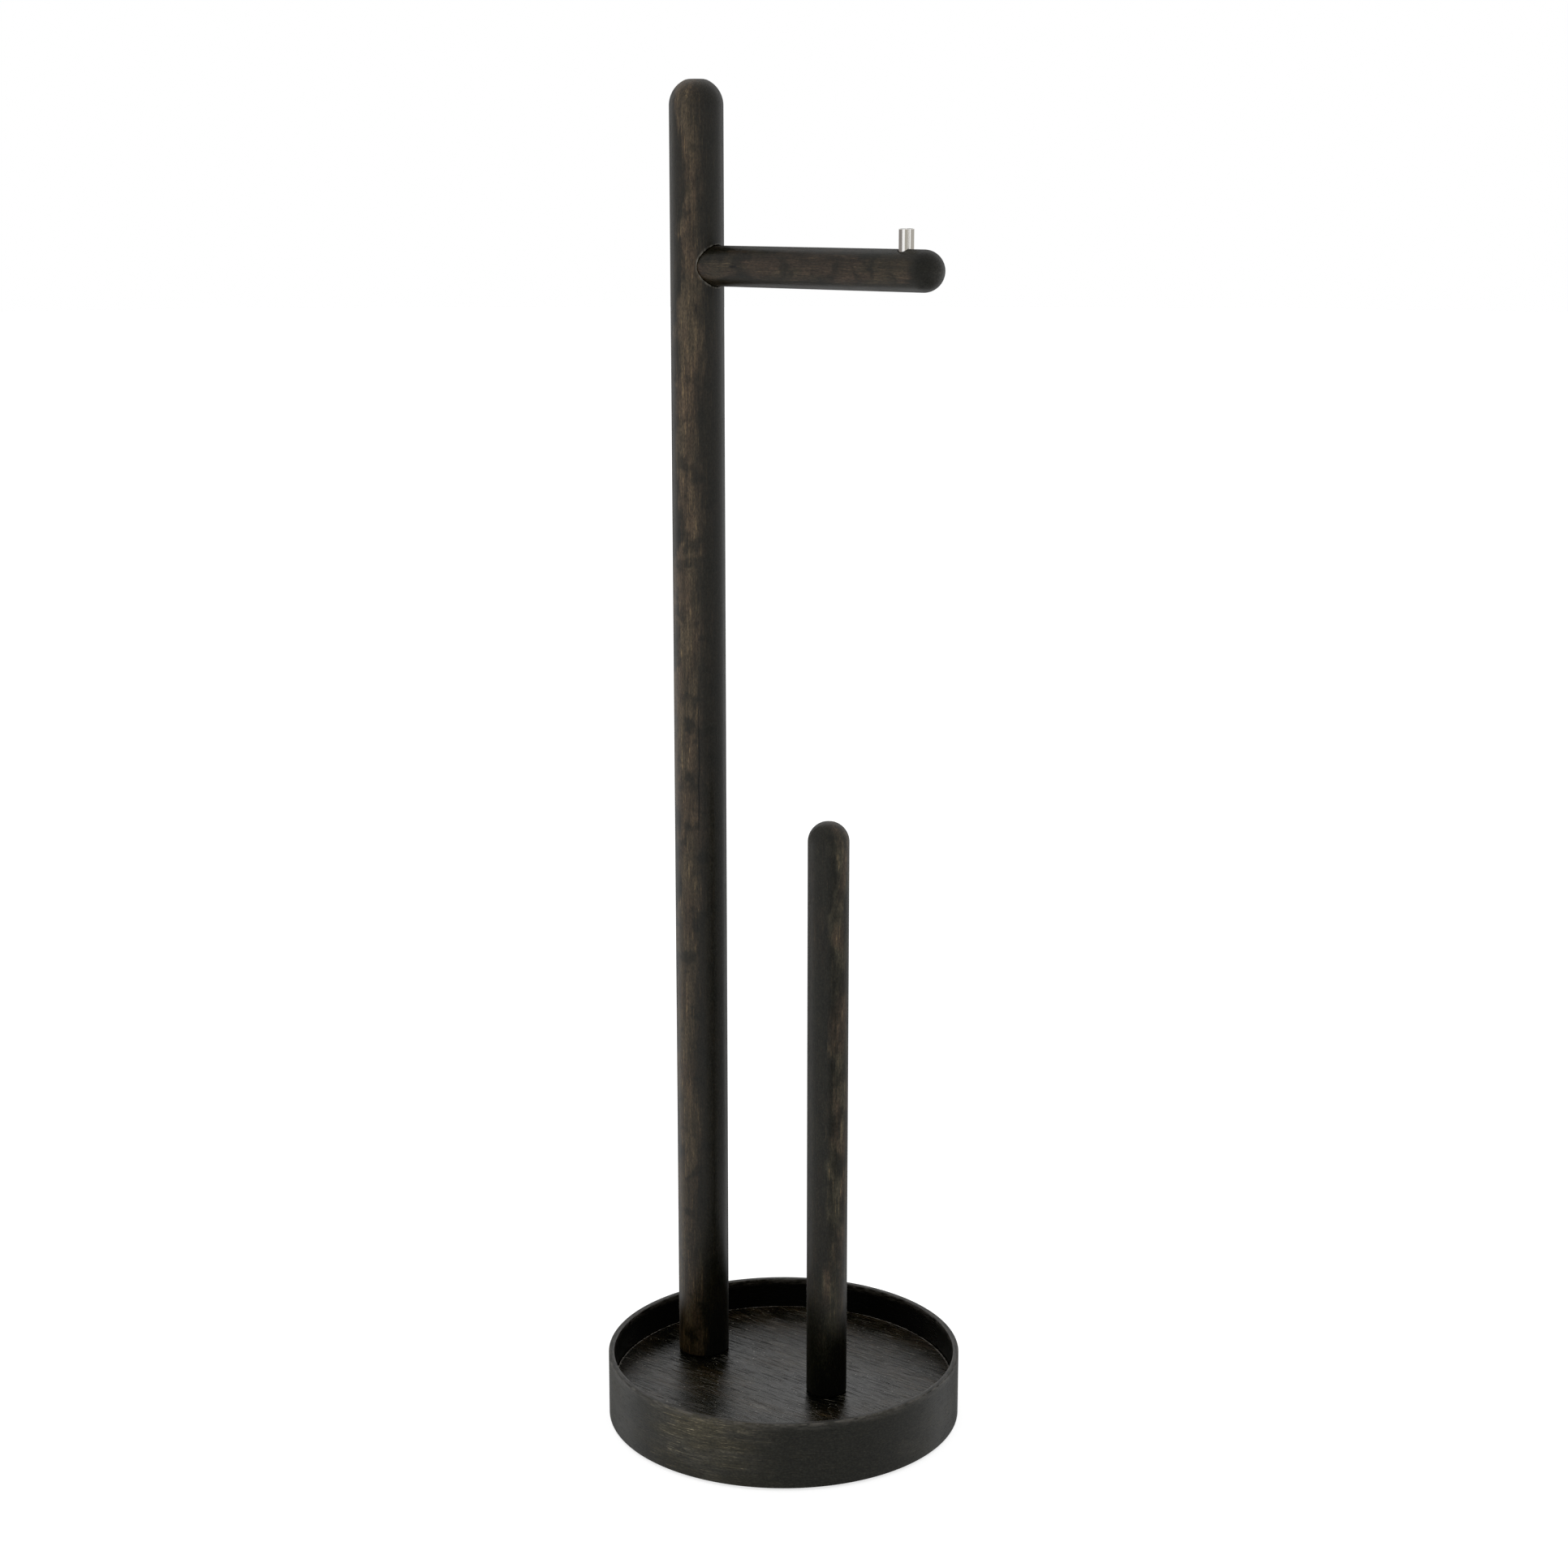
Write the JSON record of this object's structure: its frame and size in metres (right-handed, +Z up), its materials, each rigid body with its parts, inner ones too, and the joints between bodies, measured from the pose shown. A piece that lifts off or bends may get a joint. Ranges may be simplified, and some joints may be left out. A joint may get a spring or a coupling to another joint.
{
  "type": "toilet paper holder",
  "caption": "Free-standing dark wooden toilet paper holder: round tray base, tall post with a level roll arm and stop pins, short post for spare rolls.",
  "frame": {"origin": "centre of the round tray, on the underside of its pad, where the stand rests on the floor", "axes": "+Z up along the posts; +X the way the roll arm points; +Y completes the right-handed frame"},
  "size_m": [0.2009, 0.2, 0.743],
  "materials": {
    "ring_wood": "dark stain, satin, grain running round the wall",
    "floor_wood": "dark stain, satin, straight grain",
    "post_wood": "dark stain, satin, grain along the rod, lightly worn",
    "pin_steel": "polished stainless steel",
    "plate_steel": "dark mill steel",
    "fixing_steel": "zinc-plated steel",
    "felt": "black felt"
  },
  "bodies": {
    "root": {"base_ring": "ring_wood", "base_disc": "floor_wood", "ballast_plate": "plate_steel", "base_pad": "felt", "tall_post": "post_wood", "spare_post": "post_wood", "roll_arm": "post_wood", "stop_pin_front": "pin_steel", "stop_pin_rear": "pin_steel", "tall_post_bolt": "fixing_steel", "spare_post_bolt": "fixing_steel", "tall_post_insert": "fixing_steel", "spare_post_insert": "fixing_steel", "arm_insert": "fixing_steel", "arm_stud": "fixing_steel"}
  },
  "joints": []
}
